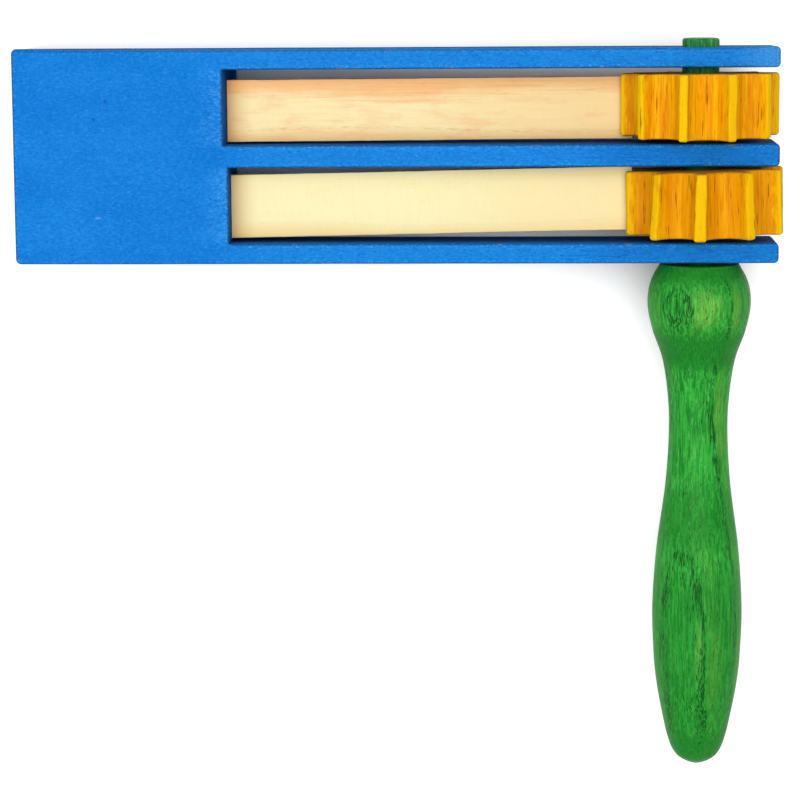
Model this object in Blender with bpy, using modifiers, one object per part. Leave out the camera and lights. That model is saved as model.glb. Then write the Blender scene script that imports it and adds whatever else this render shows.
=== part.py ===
"""Double wooden ratchet: two cogs on a spindle flick two slats as the frame is whirled round the handle.

The spindle's axis runs along Y with the handle towards -Y, and +Z is up. The ratchet lies on the cogs'
lowest crests and on the far end of the frame, which is therefore tilted a little about the spindle.
The origin is the middle of the bounding box's underside. All lengths are in metres.
"""
import math

import bmesh
import bpy
from mathutils import Euler, Matrix, Vector

# Frame, measured from the spindle's axis along X and from its own middle height along Y
FRAME_LEFT = -0.1827
FRAME_RIGHT = 0.0203
FRAME_HALF_HEIGHT = 0.02845
FRAME_THICKNESS = 0.018
FRAME_EDGE_ROUND = 0.0007
TOP_ARM_HEIGHT = 0.00525
UPPER_SLOT_HEIGHT = 0.0199
MIDDLE_ARM_HEIGHT = 0.00575
LOWER_SLOT_HEIGHT = 0.0205
UPPER_SLOT_END = -0.1267
LOWER_SLOT_END = -0.1254

# Spindle and handle
SPINDLE_RADIUS = 0.0049
SPINDLE_TOP = 0.0307
SPINDLE_CHAMFER = 0.0006
SOCKET_DEPTH = 0.030
BORE_RADIUS = 0.0053
GAP = 0.0003
HANDLE_CLEARANCE = 0.0009
SHOULDER_RADIUS = 0.0105
# Distance below the shoulder and radius: ball, neck, swelling grip and rounded nose
HANDLE_STATIONS = [
    (0.0000, SHOULDER_RADIUS),
    (0.0050, 0.01305),
    (0.0110, 0.01380),
    (0.0180, 0.01245),
    (0.0260, 0.00972),
    (0.0360, 0.00824),
    (0.0460, 0.00790),
    (0.0600, 0.00876),
    (0.0780, 0.01110),
    (0.0940, 0.01212),
    (0.1060, 0.01176),
    (0.1120, 0.01130),
    (0.1175, 0.01052),
    (0.1240, 0.00928),
    (0.1297, 0.00802),
    (0.1340, 0.00642),
    (0.1364, 0.00412),
    (0.1379, 0.00000),
]
STATION_STEPS = 3
TURNED_STEPS = 32

# Cogs: a crest's width, and round notches between the crests
COG_TEETH = 10
COG_RADIUS = 0.0211
CREST_WIDTH = 0.0025
NOTCH_STEPS = 10
# Each cog's place on the spindle, and how it was bored off centre, leaning and askew
COGS = {
    "upper_cog": {"middle": 0.0132, "thickness": 0.0167, "turn": math.radians(16.3), "offset": -0.0002,
                  "lean": math.radians(0.65), "skew": 0.0},
    "lower_cog": {"middle": -0.0125, "thickness": 0.0171, "turn": math.radians(-11.0), "offset": 0.0014,
                  "lean": math.radians(0.95), "skew": math.radians(2.4)},
}

# Slats: flat tongues held in saw kerfs at the slots' closed ends
SLAT_WIDTH = 0.0168
SLAT_THICKNESS = 0.0022
SLAT_EDGE_ROUND = 0.00025
SLAT_TIP = -0.0180
KERF_DEPTH = 0.022
SLAT_ROOT_LEVEL = 0.0016
UPPER_SLAT_MIDDLE = 0.0120
UPPER_SLAT_SKEW = math.radians(0.17)
UPPER_SLAT_TIP_LEVEL = -0.0023
LOWER_SLAT_MIDDLE = -0.0137
LOWER_SLAT_SKEW = math.radians(1.03)
LOWER_SLAT_TIP_LEVEL = 0.0008

# Steel pins in the cogs and brads in the slats' roots
PIN_RADIUS = 0.0008
PIN_REACH_PAST_AXIS = 0.002
BRAD_RADIUS = 0.0007
BRAD_LENGTH = 0.0135
BRAD_SPACING = 0.009
BRAD_SINK = 0.0003
SMALL_ROUND_SIDES = 12
BORE_SIDES = 48

# Derived places
CREST_HALF_ANGLE = math.asin(CREST_WIDTH / 2 / COG_RADIUS)
HALF_PITCH = math.pi / COG_TEETH
NOTCH_EDGE_ANGLE = HALF_PITCH - CREST_HALF_ANGLE
NOTCH_RADIUS = COG_RADIUS * math.sin(NOTCH_EDGE_ANGLE)
NOTCH_CENTRE = COG_RADIUS * math.cos(NOTCH_EDGE_ANGLE)
COG_ROOT_RADIUS = NOTCH_CENTRE - NOTCH_RADIUS
UPPER_SLOT_TOP = FRAME_HALF_HEIGHT - TOP_ARM_HEIGHT
UPPER_SLOT_BOTTOM = UPPER_SLOT_TOP - UPPER_SLOT_HEIGHT
LOWER_SLOT_TOP = UPPER_SLOT_BOTTOM - MIDDLE_ARM_HEIGHT
LOWER_SLOT_BOTTOM = LOWER_SLOT_TOP - LOWER_SLOT_HEIGHT
HANDLE_SHOULDER = -FRAME_HALF_HEIGHT - HANDLE_CLEARANCE
HANDLE_END = HANDLE_SHOULDER - HANDLE_STATIONS[-1][0]


def crest_corners(cog):
    """Corners of a cog's crests, measured from the spindle's axis at the frame's middle height."""
    place = Matrix.Translation((cog["offset"], cog["middle"], 0.0))
    place = place @ Euler((cog["lean"], 0.0, cog["skew"])).to_matrix().to_4x4()
    half = cog["thickness"] / 2
    corners = []
    for tooth in range(COG_TEETH):
        for side in (-CREST_HALF_ANGLE, CREST_HALF_ANGLE):
            angle = cog["turn"] + tooth * 2 * HALF_PITCH + side
            for level in (-half, half):
                corner = Vector((COG_RADIUS * math.sin(angle), level, COG_RADIUS * math.cos(angle)))
                corners.append(place @ corner)
    return corners


def resting_tilt(axis_height):
    """Tilt about the axis that brings the frame's rounded lower left edge down to the surface."""
    arm = -FRAME_LEFT - FRAME_EDGE_ROUND
    half = FRAME_THICKNESS / 2 - FRAME_EDGE_ROUND
    drop = axis_height - FRAME_EDGE_ROUND
    return math.asin(drop / math.hypot(arm, half)) - math.atan2(half, arm)


CREST_CORNERS = crest_corners(COGS["upper_cog"]) + crest_corners(COGS["lower_cog"])
AXIS_HEIGHT = -min(corner.z for corner in CREST_CORNERS)
RIGHT_REACH = max(corner.x for corner in CREST_CORNERS)
FRAME_TILT = resting_tilt(AXIS_HEIGHT)
LEFT_REACH = ((FRAME_LEFT + FRAME_EDGE_ROUND) * math.cos(FRAME_TILT)
              - (FRAME_THICKNESS / 2 - FRAME_EDGE_ROUND) * math.sin(FRAME_TILT) - FRAME_EDGE_ROUND)
AXIS_PLACE = Vector((-(LEFT_REACH + RIGHT_REACH) / 2, -(SPINDLE_TOP + HANDLE_END) / 2, AXIS_HEIGHT))


def clear_scene():
    for item in list(bpy.data.objects):
        bpy.data.objects.remove(item, do_unlink=True)


def new_collection(name):
    collection = bpy.data.collections.new(name)
    bpy.context.scene.collection.children.link(collection)
    return collection


def new_material(name, colour, roughness, metallic=0.0):
    material = bpy.data.materials.new(name)
    material.use_nodes = True
    shader = material.node_tree.nodes["Principled BSDF"]
    shader.inputs["Base Color"].default_value = (*colour, 1.0)
    shader.inputs["Roughness"].default_value = roughness
    shader.inputs["Metallic"].default_value = metallic
    return material


def new_empty(name, collection, location, parent=None):
    empty = bpy.data.objects.new(name, None)
    collection.objects.link(empty)
    empty.parent = parent
    empty.location = location
    return empty


def new_part(name, mesh, collection, parent, material=None):
    part = bpy.data.objects.new(name, mesh)
    collection.objects.link(part)
    part.parent = parent
    if material:
        mesh.materials.append(material)
    return part


def box_mesh(name, low, high):
    """Box between two corners, with its size in the mesh."""
    shape = bmesh.new()
    bmesh.ops.create_cube(shape, size=1.0)
    size = Vector(high) - Vector(low)
    middle = (Vector(high) + Vector(low)) / 2
    bmesh.ops.scale(shape, vec=size, verts=shape.verts)
    bmesh.ops.translate(shape, vec=middle, verts=shape.verts)
    mesh = bpy.data.meshes.new(name)
    shape.to_mesh(mesh)
    shape.free()
    return mesh


def rod_mesh(name, radius, low, high, sides):
    """Round rod along Z from low to high."""
    shape = bmesh.new()
    bmesh.ops.create_cone(shape, cap_ends=True, segments=sides, radius1=radius, radius2=radius,
                          depth=high - low)
    bmesh.ops.translate(shape, vec=(0.0, 0.0, (high + low) / 2), verts=shape.verts)
    mesh = bpy.data.meshes.new(name)
    shape.to_mesh(mesh)
    shape.free()
    return mesh


def smooth_shade(mesh):
    mesh.shade_smooth()
    mesh.set_sharp_from_angle(angle=math.radians(35))


def add_bevel(part, width, segments):
    bevel = part.modifiers.new("rounded edges", "BEVEL")
    bevel.width = width
    bevel.segments = segments
    bevel.limit_method = "ANGLE"


def new_cutter(name, mesh, collection, parent):
    cutter = new_part(name, mesh, collection, parent)
    cutter.hide_render = True
    cutter.display_type = "WIRE"
    return cutter


def cut(part, cutter):
    boolean = part.modifiers.new(cutter.name, "BOOLEAN")
    boolean.operation = "DIFFERENCE"
    boolean.object = cutter


def smooth_through(stations, steps):
    """Points of a smooth curve through the stations, with Catmull-Rom tangents."""
    points = []
    last = len(stations) - 1
    for index in range(last):
        before = Vector(stations[max(index - 1, 0)])
        start = Vector(stations[index])
        end = Vector(stations[index + 1])
        after = Vector(stations[min(index + 2, last)])
        slope = end - before
        bend = 2 * before - 5 * start + 4 * end - after
        twist = 3 * start - before - 3 * end + after
        for step in range(steps):
            t = step / steps
            points.append(start + 0.5 * t * (slope + t * (bend + t * twist)))
    points.append(Vector(stations[last]))
    return points


def turned_part(name, profile, collection, parent, material):
    """Solid turned about Z from (radius, height) points that run down its outer side."""
    mesh = bpy.data.meshes.new(name)
    mesh.from_pydata([(radius, 0.0, height) for radius, height in profile],
                     [(index, index + 1) for index in range(len(profile) - 1)], [])
    part = new_part(name, mesh, collection, parent, material)
    screw = part.modifiers.new("turned", "SCREW")
    screw.steps = TURNED_STEPS
    screw.render_steps = TURNED_STEPS
    screw.use_merge_vertices = True
    screw.merge_threshold = 0.00001
    screw.use_smooth_shade = True
    part.rotation_euler = (-math.pi / 2, 0.0, 0.0)
    return part


def make_handle(collection, parent, material):
    socket_radius = SPINDLE_RADIUS + GAP
    profile = [(0.0, -SOCKET_DEPTH), (socket_radius, -SOCKET_DEPTH), (socket_radius, 0.0)]
    depth, radius = HANDLE_STATIONS[-2]
    past_the_tip = (depth, -radius)
    outer = smooth_through(HANDLE_STATIONS + [past_the_tip], STATION_STEPS)[:-STATION_STEPS]
    profile += [(radius, -depth) for depth, radius in outer]
    handle = turned_part("handle", profile, collection, parent, material)
    handle.location = (0.0, HANDLE_SHOULDER, 0.0)
    return handle


def make_spindle(collection, parent, material):
    foot = HANDLE_SHOULDER - SOCKET_DEPTH + GAP
    profile = [
        (0.0, SPINDLE_TOP),
        (SPINDLE_RADIUS - SPINDLE_CHAMFER, SPINDLE_TOP),
        (SPINDLE_RADIUS, SPINDLE_TOP - SPINDLE_CHAMFER),
        (SPINDLE_RADIUS, foot + SPINDLE_CHAMFER),
        (SPINDLE_RADIUS - SPINDLE_CHAMFER, foot),
        (0.0, foot),
    ]
    return turned_part("spindle", profile, collection, parent, material)


def polar(radius, angle):
    return Vector((radius * math.cos(angle), radius * math.sin(angle)))


def cog_outline():
    """Crest corners and round notches, anticlockwise from the crest that points along +Y."""
    points = []
    for tooth in range(COG_TEETH):
        crest = math.pi / 2 + tooth * 2 * HALF_PITCH
        points.append(polar(COG_RADIUS, crest - CREST_HALF_ANGLE))
        valley = crest + HALF_PITCH
        centre = polar(NOTCH_CENTRE, valley)
        for step in range(NOTCH_STEPS):
            angle = valley - math.pi / 2 - math.pi * step / NOTCH_STEPS
            points.append(centre + polar(NOTCH_RADIUS, angle))
    return points


def extruded_mesh(name, outline, thickness, collection):
    """Closed mesh of a flat outline, extruded both ways along Z."""
    curve = bpy.data.curves.new(name, "CURVE")
    curve.dimensions = "2D"
    curve.fill_mode = "BOTH"
    curve.extrude = thickness / 2
    spline = curve.splines.new("POLY")
    spline.points.add(len(outline) - 1)
    for point, (x, y) in zip(spline.points, outline):
        point.co = (x, y, 0.0, 1.0)
    spline.use_cyclic_u = True
    drawn = bpy.data.objects.new(name, curve)
    collection.objects.link(drawn)
    bpy.context.view_layer.update()
    mesh = bpy.data.meshes.new_from_object(drawn.evaluated_get(bpy.context.evaluated_depsgraph_get()))
    bpy.data.objects.remove(drawn, do_unlink=True)
    shape = bmesh.new()
    shape.from_mesh(mesh)
    bmesh.ops.remove_doubles(shape, verts=shape.verts, dist=0.00001)
    shape.to_mesh(mesh)
    shape.free()
    return mesh


def make_cog(name, collection, parent, material):
    """Cog standing across the spindle, with its crests turned from +Z towards +X."""
    cog = COGS[name]
    mesh = extruded_mesh(name, cog_outline(), cog["thickness"], collection)
    mesh.materials.clear()
    holder = new_empty(name + "_setting", collection, (cog["offset"], cog["middle"], 0.0), parent)
    holder.rotation_euler = (cog["lean"], 0.0, cog["skew"])
    part = new_part(name, mesh, collection, holder, material)
    part.rotation_euler = (math.pi / 2, cog["turn"], 0.0)
    smooth_shade(mesh)
    return part


def make_pin(cog_name, cog_part, spindle, material, collection, cutters, parent):
    """Steel pin from the valley nearest to straight down, through the cog and past the spindle's axis."""
    cog = COGS[cog_name]
    name = cog_name + "_pin"
    valley = min((cog["turn"] + (2 * tooth + 1) * HALF_PITCH for tooth in range(COG_TEETH)),
                 key=lambda angle: abs(math.remainder(math.pi - angle, 2 * math.pi)))
    outer = COG_ROOT_RADIUS - 2 * GAP
    pin_mesh = rod_mesh(name, PIN_RADIUS, -PIN_REACH_PAST_AXIS, outer, SMALL_ROUND_SIDES)
    pin = new_part(name, pin_mesh, collection, parent, material)
    hole_mesh = rod_mesh(name + "_hole", PIN_RADIUS + GAP, -PIN_REACH_PAST_AXIS - GAP, COG_RADIUS,
                         SMALL_ROUND_SIDES)
    hole = new_cutter(name + "_hole", hole_mesh, cutters, parent)
    for item in (pin, hole):
        item.location = (0.0, cog["middle"], 0.0)
        item.rotation_euler = (0.0, valley, 0.0)
    cut(cog_part, hole)
    cut(spindle, hole)
    smooth_shade(pin.data)


def make_slat(name, slot_end, middle, skew, tip_level, materials, collection, cutters, frame, frame_pivot):
    """Slat in its kerf, hinged in effect at the kerf's mouth, with the two brads through its root."""
    pivot = new_empty(name + "_pivot", collection, (slot_end, middle, SLAT_ROOT_LEVEL), frame_pivot)
    free_length = SLAT_TIP - slot_end
    slope = math.asin((SLAT_ROOT_LEVEL - tip_level) / free_length)
    pivot.rotation_euler = (0.0, slope, skew)
    half_width = SLAT_WIDTH / 2
    half_thickness = SLAT_THICKNESS / 2
    root = -KERF_DEPTH + GAP
    slat_mesh = box_mesh(name, (root, -half_width, -half_thickness),
                         (free_length, half_width, half_thickness))
    slat = new_part(name, slat_mesh, collection, pivot, materials[name])
    add_bevel(slat, SLAT_EDGE_ROUND, 1)
    kerf_mesh = box_mesh(name + "_kerf", (-KERF_DEPTH, -half_width - GAP, -half_thickness - GAP),
                         (KERF_DEPTH / 2, half_width + GAP, half_thickness + GAP))
    cut(frame, new_cutter(name + "_kerf", kerf_mesh, cutters, pivot))
    make_brads(name, slot_end - KERF_DEPTH / 2, middle, (frame, slat), materials["steel"],
               collection, cutters, frame_pivot)


def make_brads(slat_name, along, middle, drilled, material, collection, cutters, frame_pivot):
    """Two brads driven in from the frame's back, through the slat's root."""
    low = -FRAME_THICKNESS / 2 + BRAD_SINK
    high = low + BRAD_LENGTH
    for number, side in ((1, 1), (2, -1)):
        name = f"{slat_name}_brad_{number}"
        brad_mesh = rod_mesh(name, BRAD_RADIUS, low, high, SMALL_ROUND_SIDES)
        brad = new_part(name, brad_mesh, collection, frame_pivot, material)
        hole_mesh = rod_mesh(name + "_hole", BRAD_RADIUS + GAP, low - FRAME_THICKNESS / 4, high + GAP,
                             SMALL_ROUND_SIDES)
        hole = new_cutter(name + "_hole", hole_mesh, cutters, frame_pivot)
        for item in (brad, hole):
            item.location = (along, middle + side * BRAD_SPACING / 2, 0.0)
        for piece in drilled:
            cut(piece, hole)
        smooth_shade(brad.data)


def make_frame(collection, cutters, parent, material):
    half = FRAME_THICKNESS / 2
    blank = box_mesh("frame", (FRAME_LEFT, -FRAME_HALF_HEIGHT, -half), (FRAME_RIGHT, FRAME_HALF_HEIGHT, half))
    frame = new_part("frame", blank, collection, parent, material)
    add_bevel(frame, FRAME_EDGE_ROUND, 2)
    slots = {
        "upper_slot": (UPPER_SLOT_END, UPPER_SLOT_BOTTOM, UPPER_SLOT_TOP),
        "lower_slot": (LOWER_SLOT_END, LOWER_SLOT_BOTTOM, LOWER_SLOT_TOP),
    }
    for name, (end, bottom, top) in slots.items():
        mesh = box_mesh(name, (end, bottom, -FRAME_THICKNESS),
                        (FRAME_RIGHT + FRAME_THICKNESS, top, FRAME_THICKNESS))
        cut(frame, new_cutter(name, mesh, cutters, parent))
    bore_mesh = rod_mesh("arm_bore", BORE_RADIUS, -2 * FRAME_HALF_HEIGHT, 2 * FRAME_HALF_HEIGHT, BORE_SIDES)
    bore = new_cutter("arm_bore", bore_mesh, cutters, parent)
    bore.rotation_euler = (math.pi / 2, 0.0, 0.0)
    cut(frame, bore)
    return frame, bore


def main():
    clear_scene()
    parts = new_collection("wooden_ratchet")
    cutters = new_collection("cutters")
    materials = {
        "blue": new_material("blue paint on wood", (0.016, 0.205, 0.64), 0.55),
        "green": new_material("green stained wood", (0.020, 0.235, 0.032), 0.45),
        "yellow": new_material("yellow stained wood", (0.79, 0.33, 0.010), 0.50),
        "upper_slat": new_material("pink-tan bare wood", (0.74, 0.52, 0.36), 0.65),
        "lower_slat": new_material("cream bare wood", (0.83, 0.66, 0.45), 0.65),
        "steel": new_material("bright steel", (0.55, 0.55, 0.56), 0.35, 1.0),
    }
    axis = new_empty("spindle_axis", parts, AXIS_PLACE)
    frame_pivot = new_empty("frame_pivot", parts, (0.0, 0.0, 0.0), axis)
    frame_pivot.rotation_euler = (0.0, -FRAME_TILT, 0.0)

    frame, bore = make_frame(parts, cutters, frame_pivot, materials["blue"])
    make_slat("upper_slat", UPPER_SLOT_END, UPPER_SLAT_MIDDLE, UPPER_SLAT_SKEW, UPPER_SLAT_TIP_LEVEL,
              materials, parts, cutters, frame, frame_pivot)
    make_slat("lower_slat", LOWER_SLOT_END, LOWER_SLAT_MIDDLE, LOWER_SLAT_SKEW, LOWER_SLAT_TIP_LEVEL,
              materials, parts, cutters, frame, frame_pivot)

    make_handle(parts, axis, materials["green"])
    spindle = make_spindle(parts, axis, materials["green"])
    for name in COGS:
        cog = make_cog(name, parts, axis, materials["yellow"])
        cut(cog, bore)
        make_pin(name, cog, spindle, materials["steel"], parts, cutters, axis)


main()
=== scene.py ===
"""Wooden ratchet: painted frame, bare slats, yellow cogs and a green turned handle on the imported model.

Lengths are in metres. The finishes are drawn in millimetres, on the grain coordinates that each
piece carries, so the grain stays on its piece in every pose.
"""
import math

import bmesh
import bpy
from mathutils import Euler, Matrix, Vector, noise


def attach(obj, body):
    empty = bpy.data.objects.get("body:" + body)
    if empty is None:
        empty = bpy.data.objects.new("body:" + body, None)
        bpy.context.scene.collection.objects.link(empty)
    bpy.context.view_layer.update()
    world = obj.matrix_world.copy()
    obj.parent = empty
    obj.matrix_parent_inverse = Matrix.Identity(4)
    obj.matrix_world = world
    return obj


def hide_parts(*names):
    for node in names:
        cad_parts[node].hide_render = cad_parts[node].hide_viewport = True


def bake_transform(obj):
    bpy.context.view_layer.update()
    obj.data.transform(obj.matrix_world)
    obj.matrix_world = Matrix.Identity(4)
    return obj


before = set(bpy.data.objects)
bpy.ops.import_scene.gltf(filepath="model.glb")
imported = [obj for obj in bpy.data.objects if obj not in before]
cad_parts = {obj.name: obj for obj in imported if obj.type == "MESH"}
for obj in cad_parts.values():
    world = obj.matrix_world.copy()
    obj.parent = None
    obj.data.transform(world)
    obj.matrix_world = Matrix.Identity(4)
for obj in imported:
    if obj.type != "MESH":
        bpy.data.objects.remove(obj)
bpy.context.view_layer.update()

MM = 0.001

# Points closer than these distances count as one
SAME_PLACE = 1e-6
MERGE_DISTANCE = 1e-7

# Where the spindle's axis lies, and how far the frame is tilted about it
AXIS_PLACE = Vector((0.080026, 0.068275, 0.021053))
FRAME_TILT = 0.0663764
AXIS = Matrix.Translation(AXIS_PLACE)
FRAME = AXIS @ Matrix.Rotation(-FRAME_TILT, 4, "Y")

# Frame, from the spindle's axis along X and from its own middle height along Y
FRAME_LEFT = -0.1827
FRAME_RIGHT = 0.0203
FRAME_HALF_HEIGHT = 0.02845
FRAME_HALF_THICKNESS = 0.009
BLOCK_CORNER_ROUND = 0.0014
PROUD_CORNERS = ((FRAME_LEFT, 0.00072), (FRAME_RIGHT, 0.00042))
PROUD_CORNER_LENGTH = 0.020
PROUD_CORNER_HEIGHT = 0.005
ARM_CORNER_ROUND = 0.0012
FRAME_EDGE_ROUND = 0.0006
FRAME_MESH_STEP = 0.0025
STRAIGHT_ANGLE = 0.01
SLOTS = {
    "upper": {"end": -0.1267, "slant": 0.0023, "bottom": 0.0033, "top": 0.0232},
    "lower": {"end": -0.1254, "slant": 0.0007, "bottom": -0.02295, "top": -0.0028},
}
ARM_BORE_RADIUS = 0.0052

# Slats in their kerfs
SLAT_HALF_THICKNESS = 0.0011
SLAT_EDGE_ROUND = 0.00028
SLAT_TIP = -0.0180
SLAT_ROOT_LEVEL = 0.0016
KERF_DEPTH = 0.022
KERF_GAP = 0.0003
# The tip is thinned from one distance before its end to another
FEATHER_START = 0.016
FEATHER_END = 0.004
FEATHER_DEPTH = 0.00155
SLATS = {
    "upper": {"middle": 0.0120, "half_width": 0.0084, "skew": math.radians(0.17), "tip_level": -0.0023},
    "lower": {"middle": -0.0136, "half_width": 0.0086, "skew": math.radians(1.03), "tip_level": 0.00005},
}
SLAT_MESH_STEP = 0.0015
# Ragged edges: each wave's length, depth and seed. The two edges differ by their place across.
RAGGED_WAVES = ((9 * MM, 0.12 * MM, 3.0), (2.2 * MM, 0.08 * MM, 9.0))
RAGGED_ACROSS = 400

# Cogs: crests, round notches and a snug bore
COG_TEETH = 10
COG_RADIUS = 0.0211
CREST_WIDTH = 0.0025
HALF_PITCH = math.pi / COG_TEETH
CREST_HALF_ANGLE = math.asin(CREST_WIDTH / 2 / COG_RADIUS)
NOTCH_HALF_ANGLE = HALF_PITCH - CREST_HALF_ANGLE
CREST_STEPS = 2
NOTCH_STEPS = 14
COG_BORE_RADIUS = 0.00494
COG_CORE_RADIUS = 2 * COG_BORE_RADIUS
COG_EDGE_ROUND = 0.0007
COG_CORNER_ANGLE = math.radians(40)
CREST_END_ROUND = 0.0009
CREST_END_SINK = 0.4 * CREST_END_ROUND
COG_SHRINK = 0.0004
COG_MESH_STEP = 0.0022
# Uneven teeth: each wave's length across and along the grain, its amount and its way from the seed
TOOTH_WAVES = ((4 * MM, 45 * MM, 0.4 * MM, 1), (7 * MM, 6 * MM, 0.22 * MM, -1))
TOOTH_SEED_RATE = 900
# Where each cog sits, how it is set on the spindle, and how its teeth and ends stray from true
COGS = {
    "upper": {"middle": 0.0132, "thickness": 0.0167, "turn": math.radians(16.3), "offset": -0.0002,
              "lean": math.radians(0.65), "skew": 0.0, "oval": 1.0, "front_spread": -0.0002,
              "top_askew": 0.0008, "foot_askew": 0.0003, "left_splay": 0.0, "right_splay": 0.0,
              "uneven": 0.0},
    "lower": {"middle": -0.0125, "thickness": 0.0171, "turn": math.radians(-11.0), "offset": 0.00125,
              "lean": math.radians(0.95), "skew": math.radians(1.1), "oval": 1.018, "front_spread": 0.00045,
              "top_askew": 0.0006, "foot_askew": 0.0002, "left_splay": 0.0019, "right_splay": 0.0007,
              "uneven": 0.0015},
}

# Spindle and handle
SPINDLE_RADIUS = 0.0049
SPINDLE_TOP = 0.0307
SPINDLE_FOOT = -0.05905
SPINDLE_EASE = 0.0006
SPINDLE_EASE_STEPS = 4
SOCKET_RADIUS = 0.00493
SOCKET_DEPTH = 0.030
HANDLE_SHOULDER = -0.02935
HANDLE_TOP_RADIUS = 0.0080
# Depth below the shoulder, and radius
HANDLE_STATIONS = [
    (0.0000, 0.01050),
    (0.0050, 0.01305),
    (0.0110, 0.01380),
    (0.0180, 0.01245),
    (0.0260, 0.00972),
    (0.0360, 0.00824),
    (0.0460, 0.00790),
    (0.0600, 0.00876),
    (0.0780, 0.01110),
    (0.0940, 0.01212),
    (0.1060, 0.01176),
    (0.1120, 0.01130),
    (0.1175, 0.01052),
    (0.1240, 0.00928),
    (0.1297, 0.00802),
    (0.1340, 0.00642),
    (0.1364, 0.00412),
    (0.1379, 0.00000),
]
STATION_STEPS = 8
TURNED_STEPS = 96

# Steel pins and brads
PIN_RADIUS = 0.0008
PIN_INNER_END = -0.002
PIN_END_SINK = 0.0002
PIN_END_ROUND = 0.00035
PIN_END_STEPS = 5
BRAD_RADIUS = 0.0007
BRAD_HEAD_RADIUS = 0.00115
BRAD_HEAD_THICKNESS = 0.00035
BRAD_LENGTH = 0.0135
BRAD_POINT = 0.0015
BRAD_SPACING = 0.009
STEEL_STEPS = 24

# Shared by several pieces. The quarter turn is about X.
QUARTER_TURN = Matrix.Rotation(math.pi / 2, 4, "X")
DRILL_LENGTH = 0.10
DRILL_STEPS = 64
SHARP_ANGLE = math.radians(42)


def everything(shape):
    return shape.verts[:] + shape.edges[:] + shape.faces[:]


def score(shape, place, direction):
    """Cut new edges where a plane crosses the shape."""
    bmesh.ops.bisect_plane(shape, geom=everything(shape), dist=MERGE_DISTANCE, plane_co=place,
                           plane_no=direction)


def score_grid(shape, low, high, step, axis):
    """Cut evenly spaced edges across the shape along one axis."""
    direction = Vector((0.0, 0.0, 0.0))
    direction[axis] = 1.0
    count = max(round((high - low) / step), 1)
    for index in range(1, count):
        score(shape, direction * (low + (high - low) * index / count), direction)


def wear_flat(shape, depth, size, shift=0.0):
    """Sink the surface unevenly, because sawn and sanded wood is never quite flat."""
    shape.normal_update()
    offset = Vector((shift, 2 * shift, 3 * shift))
    for vert in shape.verts:
        level = 0.5 + 0.5 * noise.noise(vert.co / size + offset)
        vert.co -= vert.normal * depth * level


def mesh_of(name, shape):
    """Mesh with merged doubles and outward faces."""
    bmesh.ops.remove_doubles(shape, verts=shape.verts, dist=MERGE_DISTANCE)
    bmesh.ops.recalc_face_normals(shape, faces=shape.faces)
    mesh = bpy.data.meshes.new(name)
    shape.to_mesh(mesh)
    shape.free()
    return mesh


def new_object(name, mesh):
    item = bpy.data.objects.new(name, mesh)
    bpy.context.scene.collection.objects.link(item)
    return item


def carve(mesh, cutters):
    """Mesh with the cutters' shapes taken out of it."""
    worked = new_object("worked", mesh)
    tools = []
    for index, cutter in enumerate(cutters):
        tool = new_object(f"cutter_{index}", mesh_of(f"cutter_{index}", cutter))
        boolean = worked.modifiers.new(tool.name, "BOOLEAN")
        boolean.operation = "DIFFERENCE"
        boolean.object = tool
        tools.append(tool)
    bpy.context.view_layer.update()
    depsgraph = bpy.context.evaluated_depsgraph_get()
    carved = bmesh.new()
    carved.from_mesh(worked.evaluated_get(depsgraph).to_mesh())
    for item in [worked] + tools:
        bpy.data.objects.remove(item, do_unlink=True)
    return carved


def new_piece(name, shape, place, material, node):
    """Piece in its place, with grain coordinates in millimetres, standing for a CAD node."""
    mesh = mesh_of(name, shape)
    grain = mesh.attributes.new("grain_mm", "FLOAT_VECTOR", "POINT")
    for vert, item in zip(mesh.vertices, grain.data):
        item.vector = vert.co / MM
    mesh.transform(place)
    mesh.shade_smooth()
    mesh.set_sharp_from_angle(angle=SHARP_ANGLE)
    mesh.materials.append(material)
    piece = new_object(name, mesh)
    weighted = piece.modifiers.new("even shading", "WEIGHTED_NORMAL")
    weighted.keep_sharp = True
    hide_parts(node)
    return piece


def round_edges(shape, edges, size, steps, clamp=False):
    bmesh.ops.bevel(shape, geom=edges, offset=size, offset_type="OFFSET", segments=steps, profile=0.5,
                    affect="EDGES", clamp_overlap=clamp, material=-1)


def thicken(shape, height):
    """Raise a flat shape into a solid of the given height."""
    raised = bmesh.ops.extrude_face_region(shape, geom=shape.faces[:])["geom"]
    raised_verts = [item for item in raised if isinstance(item, bmesh.types.BMVert)]
    bmesh.ops.translate(shape, vec=(0.0, 0.0, height), verts=raised_verts)


def box_shape(low, high):
    shape = bmesh.new()
    bmesh.ops.create_cube(shape, size=1.0)
    low = Vector(low)
    high = Vector(high)
    bmesh.ops.scale(shape, vec=high - low, verts=shape.verts)
    bmesh.ops.translate(shape, vec=(high + low) / 2, verts=shape.verts)
    return shape


def drill_shape(radius, place):
    """Long round rod along Z, then put in its place."""
    shape = bmesh.new()
    bmesh.ops.create_cone(shape, cap_ends=True, segments=DRILL_STEPS, radius1=radius, radius2=radius,
                          depth=DRILL_LENGTH)
    bmesh.ops.transform(shape, matrix=place, verts=shape.verts)
    return shape


def turned_shape(profile, steps):
    """Solid turned about Y from (radius, height) points that run from one end of its axis to the other."""
    shape = bmesh.new()
    points = [shape.verts.new((radius, height, 0.0)) for radius, height in profile]
    edges = [shape.edges.new(pair) for pair in zip(points, points[1:])]
    bmesh.ops.spin(shape, geom=points + edges, cent=(0.0, 0.0, 0.0), axis=(0.0, 1.0, 0.0),
                   dvec=(0.0, 0.0, 0.0), angle=2 * math.pi, steps=steps, use_merge=True)
    bmesh.ops.remove_doubles(shape, verts=shape.verts, dist=SAME_PLACE)
    return shape


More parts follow.
